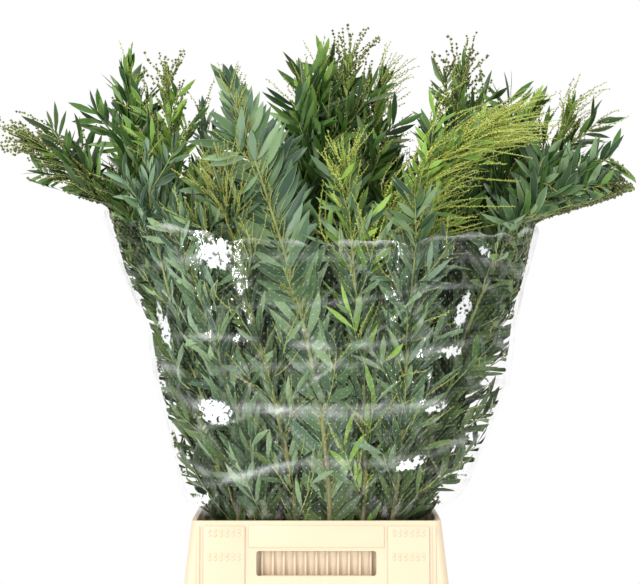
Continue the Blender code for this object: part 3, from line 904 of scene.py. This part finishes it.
def box_at(size, place, edge, tilt=0.0):
    """A box with rounded edges, leaning back by an angle."""
    deselect()
    bpy.ops.mesh.primitive_cube_add(size=1.0, location=place, rotation=(tilt, 0.0, 0.0))
    box = bpy.context.object
    box.scale = size
    settle(box)
    bevel = box.modifiers.new("edges", "BEVEL")
    bevel.width = edge
    bevel.segments = 2
    apply_modifiers(box)
    return box


def skirt_face(drop):
    """How far out the skirt's face stands at a drop below the rim."""
    return TUB_RIM[1] / 2 + (TUB_SKIRT[1] - TUB_RIM[1]) / 2 * drop / SKIRT_DEPTH


def wall_face(height):
    """How far out the tub's own wall stands at a height."""
    neck = TUB_RIM[1] / 2 - (RIM_WIDTH - TUB_WALL)
    foot = TUB_FOOT[1] / 2
    return foot + (neck - foot) * height / (TUB_HEIGHT - TUB_WALL)


def cut_windows(shell):
    """Cuts a grip window into the skirt, in front and behind, and returns the cutters."""
    middle = TUB_HEIGHT - WINDOW_TOP - WINDOW[1] / 2
    cutters = []
    for side in (-1, 1):
        place = (0.0, side * (skirt_face(WINDOW_TOP) + CUTTER_OUT), middle)
        cutter = box_at((WINDOW[0], CUTTER_DEPTH, WINDOW[1]), place, WINDOW_EDGE)
        change = shell.modifiers.new(f"window_{side}", "BOOLEAN")
        change.operation = "DIFFERENCE"
        change.object = cutter
        cutters.append(cutter)
    return cutters


def dots_on_panel(dot, side, middle):
    """Copies of the dot, in rows on the panel whose middle is this far across."""
    copies = []
    for drop in DOT_ROWS:
        out = side * (skirt_face(drop) + PANEL_RAISE + DOT_OUT)
        for column in range(DOTS_ACROSS):
            copy = dot.copy()
            copy.data = dot.data.copy()
            bpy.context.scene.collection.objects.link(copy)
            across = middle + (column - (DOTS_ACROSS - 1) / 2) * DOT_SPACING
            copy.location = (across, out, TUB_HEIGHT - drop)
            settle(copy)
            copies.append(copy)
    return copies


def tub_trim():
    """Panels with dots, corner posts and a plate on both long faces, and ribs and a sill in each window."""
    lean = math.atan2((TUB_SKIRT[1] - TUB_RIM[1]) / 2, SKIRT_DEPTH)
    height = SKIRT_DEPTH - PANEL_TOP
    middle = TUB_HEIGHT - PANEL_TOP - height / 2
    face = skirt_face(PANEL_TOP + height / 2)
    level = TUB_HEIGHT - WINDOW_TOP - WINDOW[1] / 2
    panel = (PANEL_WIDTH, PANEL_RAISE + PANEL_SUNK, height)
    panel_out = face + PANEL_RAISE / 2 - PANEL_SUNK / 2
    sill_height = TUB_HEIGHT - WINDOW_TOP - WINDOW[1] - SILL_DROP
    plate_out = skirt_face(PLATE_DROP) + PLATE_OUT
    deselect()
    bpy.ops.mesh.primitive_uv_sphere_add(segments=10, ring_count=6, radius=DOT_RADIUS)
    dot = bpy.context.object
    dot.scale = DOT_SHAPE
    settle(dot)
    pieces = []
    for side in (-1, 1):
        for end in (-1, 1):
            x = end * PANEL_SPACING / 2
            pieces.append(box_at(panel, (x, side * panel_out, middle), PANEL_EDGE, side * lean))
            place = (end * POST_SPACING / 2, side * (face + POST_OUT), middle)
            pieces.append(box_at((*POST, height), place, TRIM_EDGE, side * lean))
            pieces += dots_on_panel(dot, side, x)
        for index in range(RIB_COUNT):
            x = (index - (RIB_COUNT - 1) / 2) * WINDOW[0] / RIB_COUNT
            pieces.append(box_at(RIB, (x, side * (wall_face(level) + RIB_OUT), level), RIB_EDGE))
        place = (0.0, side * (wall_face(level) + SILL_OUT), sill_height)
        pieces.append(box_at(SILL, place, TRIM_EDGE))
        place = (0.0, side * plate_out, TUB_HEIGHT - PLATE_DROP)
        pieces.append(box_at(PLATE, place, TRIM_EDGE, side * lean))
    bpy.data.objects.remove(dot)
    return join(pieces, "tub_trim")


class WATTLE_OT_tub(bpy.types.Operator):
    """Model the flower tub with its skirt, windows, panels and ribs"""

    bl_idname = "wattle.tub"
    bl_label = "Tub"

    def execute(self, context):
        settings = context.scene.wattle_tub
        finish = plastic_finish(settings)
        shell = make_shell()
        cutters = cut_windows(shell)
        edge = shell.modifiers.new("edges", "BEVEL")
        edge.width = settings.edge
        edge.segments = 3
        edge.limit_method = "ANGLE"
        edge.angle_limit = math.radians(40)
        apply_modifiers(shell)
        for cutter in cutters:
            bpy.data.objects.remove(cutter)
        shell.name = "tub_shell"
        trim = tub_trim()
        for piece in (shell, trim):
            piece.data.materials.clear()
            piece.data.materials.append(finish)
            alone(piece)
            bpy.ops.object.shade_smooth_by_angle(angle=math.radians(35))
            hand_over(piece, ["tub"])
        return {"FINISHED"}


# The sleeve


def film_folds(angle, height, depth):
    """How far the film stands in or out at each point: gathers at the rim, long folds and slack above."""
    up = (height - RIM_LEVEL) / FOLDS_HEIGHT
    low = np.exp(-np.maximum(height - RIM_LEVEL, 0.0) / GATHERS_HEIGHT)
    gathers = low * (0.55 * np.sin(31 * angle + 1.3 * np.sin(3 * angle)) + 0.45 * np.sin(53 * angle + 0.7))
    long = 0.40 * np.sin(9 * (angle + 0.35 * up) + 2.1 * np.sin(2 * angle))
    long += 0.26 * np.sin(17 * (angle - 0.22 * up) + 0.4)
    level = 0.30 * np.sin(11.5 * up + 2.2 * np.sin(2.0 * angle + 0.6)) * smoothstep(up / 0.2)
    crinkle = 0.10 * np.sin(61 * angle + 9 * up) * np.sin(37 * up + 5 * angle)
    inside = smoothstep((height - GATHERS_FROM) / GATHERS_FADE)
    return depth * (gathers * 0.8 * inside + (long + level + crinkle) * smoothstep(up / 0.12))


def ridge(wave, width):
    """A narrow raised line wherever a wave passes through zero."""
    return np.exp(-((np.sin(wave) / width) ** 2))


def film_crease_haze_and_highlights(angle, height):
    """How pale the film is at each point from its creases, partly haze and partly painted streak highlight:
    bands, folds, pleated corners, gathered foot and mouth.
    """
    crease = np.zeros_like(height)
    for level, arch, width, strength, turn in CREASE_HIGHLIGHT_BANDS:
        line = level + arch * np.cos(2.0 * angle + turn) + 0.006 * np.sin(5.0 * angle + 9.0 * level)
        along = 0.35 + 0.65 * smoothstep(0.5 + 0.9 * np.sin(3.0 * angle + turn * 3.0))
        crease += strength * along * np.exp(-(((height - line) / width) ** 2))
    for count, slant, width, strength in CREASE_FOLDS:
        crease += strength * ridge(count * angle + slant * height, width)
    for corner in (0.0, math.pi):
        away = np.abs((angle - corner + math.pi) % (2 * math.pi) - math.pi)
        pleats = 0.45 + 0.55 * ridge(24.0 * angle + 5.0 * height, 0.5)
        crease += 0.55 * np.exp(-((away / CORNER_PLEATS) ** 2)) * pleats
    gathered = np.exp(-(((height - GATHERED_LEVEL) / GATHERED_WIDTH) ** 2)) * ridge(29.0 * angle, 0.5)
    edge = np.exp(-(((mouth_height(angle) - height) / MOUTH_EDGE) ** 2))
    return np.clip(crease + 0.30 * gathered + 0.7 * edge, 0.0, 1.0)


def film_painted_glints(x, y, height):
    """Where the film has painted glints: white patches at the named places in front, and the same turned
    half round behind.
    """
    facing = np.where(y < 0, 1.0, -1.0)
    painted_glint = np.zeros_like(height)
    for across, level, half_width, half_height, slant in PAINTED_GLINTS:
        aside = x * facing - across
        rise = height - level
        along = (aside * math.cos(slant) + rise * math.sin(slant)) / half_width
        over = (rise * math.cos(slant) - aside * math.sin(slant)) / half_height
        painted_glint += np.exp(-((along**2 + over**2) ** 1.5))
    return np.clip(painted_glint, 0.0, 1.0)


def film_shape(settings):
    """Angles, heights and points of the film, in rows from its foot up to its ruffled mouth."""
    angle = np.arange(settings.across) / settings.across * 2 * math.pi
    angle, share = np.meshgrid(angle, np.linspace(0.0, 1.0, settings.up))
    foot = min(SLEEVE_LEVELS)
    wide, fine = MOUTH_RUFFLES
    ruffle = wide * np.sin(13 * angle + 1.1 * np.sin(4 * angle)) + fine * np.sin(29 * angle)
    height = foot + (mouth_height(angle) + ruffle - foot) * share
    left, right, front, back, squareness = sleeve_section(height)
    across, along = np.cos(angle), np.sin(angle)
    half_x = np.where(across > 0, right, left)
    half_y = np.where(along > 0, back, front)
    power = 2.0 / squareness
    x = np.sign(across) * np.abs(across) ** power * half_x
    y = np.sign(along) * np.abs(along) ** power * half_y
    out = unit(np.stack([x / half_x**2, y / half_y**2], -1))
    fold = film_folds(angle, height, settings.crease)
    points = np.stack([x + out[..., 0] * fold, y + out[..., 1] * fold, height], -1)
    return angle, height, x, y, points


def corners_of(grid):
    """The four corners of every face of a grid that closes on itself sideways."""
    beside = np.roll(grid, -1, 1)
    return np.stack([grid[:-1], beside[:-1], beside[1:], grid[1:]], 2)


def mark_points(piece, name, values):
    marks = piece.data.attributes.new(name, "FLOAT", "POINT")
    marks.data.foreach_set("value", values.astype(np.float32).ravel())


def lay_flat(piece, height):
    """The film's UV map: metres round it and metres up, so that its holes keep their spacing."""
    rows, columns = height.shape
    round_it = np.arange(columns + 1) / columns * FILM_GIRTH
    before = np.broadcast_to(round_it[:-1], (rows - 1, columns))
    after = np.broadcast_to(round_it[1:], (rows - 1, columns))
    around = np.stack([before, after, after, before], 2)
    laid = np.stack([around, corners_of(height)], -1)
    layer = piece.data.uv_layers.new(name="film")
    layer.data.foreach_set("uv", laid.astype(np.float32).ravel())


class WATTLE_OT_film(bpy.types.Operator):
    """Hang the clear film sleeve round the stems, gathered where it meets the rim"""

    bl_idname = "wattle.film"
    bl_label = "Film sleeve"

    def execute(self, context):
        settings = context.scene.wattle_film
        angle, height, x, y, points = film_shape(settings)
        faces = corners_of(np.arange(height.size).reshape(height.shape)).reshape(-1, 4)
        film = mesh_piece("sleeve_film", points, faces, [film_finish(settings)])
        # This attribute carries the crease haze, partly painted streak highlight.
        mark_points(film, "crease", film_crease_haze_and_highlights(angle, height))
        # This attribute carries where the painted glints lie.
        mark_points(film, "painted_glint", film_painted_glints(x, y, height))
        lay_flat(film, height)
        hand_over(film, ["sleeve"])
        return {"FINISHED"}


# Stems, leaves and bud sprays


class WATTLE_OT_stems(bpy.types.Operator):
    """Grow the ridged stems and their side twigs"""

    bl_idname = "wattle.stems"
    bl_label = "Stems and twigs"

    def execute(self, context):
        settings = context.scene.wattle_growth
        growth = Growth(settings)
        bark = bark_finish(settings)
        share = np.linspace(0.0, 1.0, STEM_RINGS)
        taper = settings.stem_tip + (settings.stem_radius - settings.stem_tip) * (1.0 - share) ** 0.75
        points, faces, around = tubes(growth.stems, taper, STEM_SIDES)
        relief = growth.rng.normal(0.0, 1.0, points.shape[:3])
        relief = (relief + np.roll(relief, 1, 1) + np.roll(relief, 2, 1)) / 3.0
        relief *= (taper / settings.stem_radius)[None, :, None]
        points = points + around * (relief * settings.ridge)[..., None]
        points[:, 0, :, 2] = FOOT_LEVEL
        stems = mesh_piece("stems_bark", points, faces, [bark])
        close_ends(stems)
        hand_over(stems, STEM_NODES)
        points, faces, _ = tubes(growth.twigs, np.linspace(*TWIG_RADII, TWIG_RINGS), TWIG_SIDES)
        shoot = Finish("twig_bark").plain(settings.shoot, 0.55)
        twigs = mesh_piece("twigs", points, faces, [shoot])
        close_ends(twigs)
        hand_over(twigs, SPRAY_NODES)
        return {"FINISHED"}


def close_ends(piece):
    """Closes the open ends of the tubes."""
    shape = bmesh.new()
    shape.from_mesh(piece.data)
    open_edges = [edge for edge in shape.edges if edge.is_boundary]
    bmesh.ops.holes_fill(shape, edges=open_edges, sides=0)
    bmesh.ops.recalc_face_normals(shape, faces=shape.faces)
    shape.to_mesh(piece.data)
    shape.free()


def leaf_mesh(leaves):
    """Points, faces and tints of many leaves, each a folded blade with a narrow margin."""
    outline = np.array(LEAF_OUTLINE)
    share = outline[None, :, 0, None, None]
    wide = outline[None, :, 1, None, None]
    over = np.array(LEAF_ACROSS)[None, None, :, None]
    column = {name: np.array([getattr(leaf, name) for leaf in leaves]) for name in NUMBERS_OF_LEAF}
    base, way, side = (column[name][:, None, None, :] for name in NUMBERS_OF_LEAF[:3])
    length, width, bend, sickle = (column[name][:, None, None, None] for name in NUMBERS_OF_LEAF[3:])
    half = width / 2
    face = np.cross(way, side)
    points = (
        base
        + length * (way * share - face * bend * share**2 + side * sickle * share**2)
        + side * over * wide * half
        + face * (LEAF_FOLD * np.abs(over) * wide * half)
    )
    points = keep_inside(points)
    count, rows, columns = points.shape[:3]
    index = np.arange(count * rows * columns).reshape(count, rows, columns)
    faces = np.stack([index[:, :-1, :-1], index[:, :-1, 1:], index[:, 1:, 1:], index[:, 1:, :-1]], -1)
    tints = np.full((count, rows - 1, columns - 1), MARGIN_TINT)
    tints[:, :, 1:-1] = np.array([leaf.tint for leaf in leaves])[:, None, None]
    return points, faces.reshape(-1, 4), tints.ravel()


class WATTLE_OT_leaves(bpy.types.Operator):
    """Grow the leaves, each colour as one piece"""

    bl_idname = "wattle.leaves"
    bl_label = "Leaves"

    def execute(self, context):
        growth = Growth(context.scene.wattle_growth)
        for colour, tints in LEAF_TINTS.items():
            leaves = [leaf for leaf in growth.leaves if leaf.colour == colour]
            finishes = tint_finishes(f"leaf_{colour}", tints, 0.40)
            for start in range(0, len(leaves), MOST_LEAVES):
                points, faces, marks = leaf_mesh(leaves[start : start + MOST_LEAVES])
                name = f"leaves_{colour}_{start // MOST_LEAVES}"
                piece = mesh_piece(name, points, faces, finishes, marks)
                hand_over(piece, SPRAY_NODES)
        return {"FINISHED"}


def ball():
    """Points and faces of a small round bud of eight faces."""
    points = np.concatenate([np.eye(3), -np.eye(3)]) * BUD_FULLNESS
    upper = [(0, 1, 2), (1, 3, 2), (3, 4, 2), (4, 0, 2)]
    lower = [(second, first, 5) for first, second, _ in upper]
    return points, np.array(upper + lower)


def place_buds(strands, rng):
    """Places, radii and tints of the buds along each strand."""
    middles, sizes, picks = [], [], []
    for strand in strands:
        count = int(line_length(strand.points) / (strand.radius * BUD_SPACING))
        shares = BUD_START + (1 - BUD_START) * (np.arange(count) + rng.uniform(0.2, 0.8, count)) / count
        place = shares * (len(strand.points) - 1)
        here = np.minimum(place.astype(int), len(strand.points) - 2)
        start, end = strand.points[here], strand.points[here + 1]
        on_line = start + (end - start) * (place - here)[:, None]
        aside = unit(rng.normal(0.0, 1.0, (count, 3))) * strand.radius * BUD_ASIDE
        middles.append(on_line + aside)
        first, more = BUD_SWELL[strand.colour]
        sizes.append(strand.radius * (first + more * shares) * rng.uniform(0.85, 1.12, count))
        picks.append(rng.choice(len(BUD_TINT_SHARES), count, p=BUD_TINT_SHARES))
    return np.concatenate(middles), np.concatenate(sizes), np.concatenate(picks)


class WATTLE_OT_blossom(bpy.types.Operator):
    """Grow the bud sprays: their thin threads as one piece, and the buds of each colour as another"""

    bl_idname = "wattle.blossom"
    bl_label = "Bud sprays"

    def execute(self, context):
        settings = context.scene.wattle_growth
        growth = Growth(settings)
        rng = np.random.default_rng(settings.seed + 1)
        lines = [strand.points for strand in growth.strands]
        points, faces, _ = tubes(lines, np.linspace(*THREAD_RADII, STRAND_RINGS), THREAD_SIDES)
        thread = Finish("bud_thread").plain((0.31, 0.37, 0.085), 0.55)
        piece = mesh_piece("bud_threads", points, faces, [thread])
        hand_over(piece, SPRAY_NODES)
        ball_points, ball_faces = ball()
        for colour, tints in BUD_TINTS.items():
            strands = [strand for strand in growth.strands if strand.colour == colour]
            middles, sizes, picks = place_buds(strands, rng)
            points = middles[:, None, :] + ball_points[None] * sizes[:, None, None]
            offset = np.arange(len(middles))[:, None, None] * len(ball_points)
            faces = (ball_faces[None] + offset).reshape(-1, 3)
            finishes = tint_finishes(f"bud_{colour}", tints, 0.5)
            marks = np.repeat(picks, len(ball_faces))
            piece = mesh_piece(f"buds_{colour}", points, faces, finishes, marks)
            hand_over(piece, SPRAY_NODES)
        return {"FINISHED"}


# The stage


def soft_light(name, place, size, power):
    light = bpy.data.lights.new(name, "AREA")
    light.shape = "RECTANGLE"
    light.size, light.size_y = size
    light.energy = power
    made = bpy.data.objects.new(name, light)
    bpy.context.scene.collection.objects.link(made)
    made.location = place
    way = Vector(LIT_PLACE) - Vector(place)
    made.rotation_euler = way.to_track_quat("-Z", "Y").to_euler()


class WATTLE_OT_stage(bpy.types.Operator):
    """Set the pale floor, the soft studio light and the camera"""

    bl_idname = "wattle.stage"
    bl_label = "Stage"

    def execute(self, context):
        settings = context.scene.wattle_stage
        deselect()
        bpy.ops.mesh.primitive_circle_add(vertices=FLOOR_CORNERS, radius=settings.floor, fill_type="NGON")
        floor = context.object
        floor.name = "floor"
        floor.data.materials.append(Finish("pale_floor").plain((0.86, 0.86, 0.85), 0.7))
        world = bpy.data.worlds.new("studio")
        world.use_nodes = True
        surround = world.node_tree.nodes["Background"]
        surround.inputs["Color"].default_value = (1.0, 1.0, 1.0, 1.0)
        surround.inputs["Strength"].default_value = settings.sky
        context.scene.world = world
        for name, (place, size, share) in LIGHTS.items():
            soft_light(name, place, size, settings.key * share)
        lens = bpy.data.cameras.new("camera")
        lens.sensor_width = SENSOR
        lens.lens = SENSOR * CAMERA_DISTANCE / FRAME_WIDTH
        camera = bpy.data.objects.new("camera", lens)
        camera.location = CAMERA_PLACE
        camera.rotation_euler = (math.pi / 2, 0.0, 0.0)
        context.scene.collection.objects.link(camera)
        context.scene.camera = camera
        context.scene.view_settings.view_transform = "Standard"
        return {"FINISHED"}


class WATTLE_PT_panel(bpy.types.Panel):
    bl_idname = "WATTLE_PT_panel"
    bl_label = "Wattle bunch"
    bl_space_type = "VIEW_3D"
    bl_region_type = "UI"
    bl_category = "Wattle"

    def draw(self, context):
        for group, (kind, operators) in GROUPS.items():
            box = self.layout.box()
            for name in kind.__annotations__:
                box.prop(getattr(context.scene, group), name)
            for operator in operators:
                box.operator(operator.bl_idname)


# Each group of settings, and the operators that read it
GROUPS = {
    "wattle_tub": (TubSettings, (WATTLE_OT_tub,)),
    "wattle_film": (FilmSettings, (WATTLE_OT_film,)),
    "wattle_growth": (GrowthSettings, (WATTLE_OT_stems, WATTLE_OT_leaves, WATTLE_OT_blossom)),
    "wattle_stage": (StageSettings, (WATTLE_OT_stage,)),
}
CLASSES = [kind for settings, operators in GROUPS.values() for kind in (settings, *operators)]
CLASSES.append(WATTLE_PT_panel)


def register():
    for kind in CLASSES:
        bpy.utils.register_class(kind)
    for group, (kind, _) in GROUPS.items():
        setattr(bpy.types.Scene, group, bpy.props.PointerProperty(type=kind))


def unregister():
    for group in GROUPS:
        delattr(bpy.types.Scene, group)
    for kind in reversed(CLASSES):
        bpy.utils.unregister_class(kind)


def main():
    register()
    bpy.ops.wattle.stage()
    bpy.ops.wattle.tub()
    bpy.ops.wattle.film()
    bpy.ops.wattle.stems()
    bpy.ops.wattle.leaves()
    bpy.ops.wattle.blossom()
    bpy.context.view_layer.update()


if __name__ == "__main__":
    main()
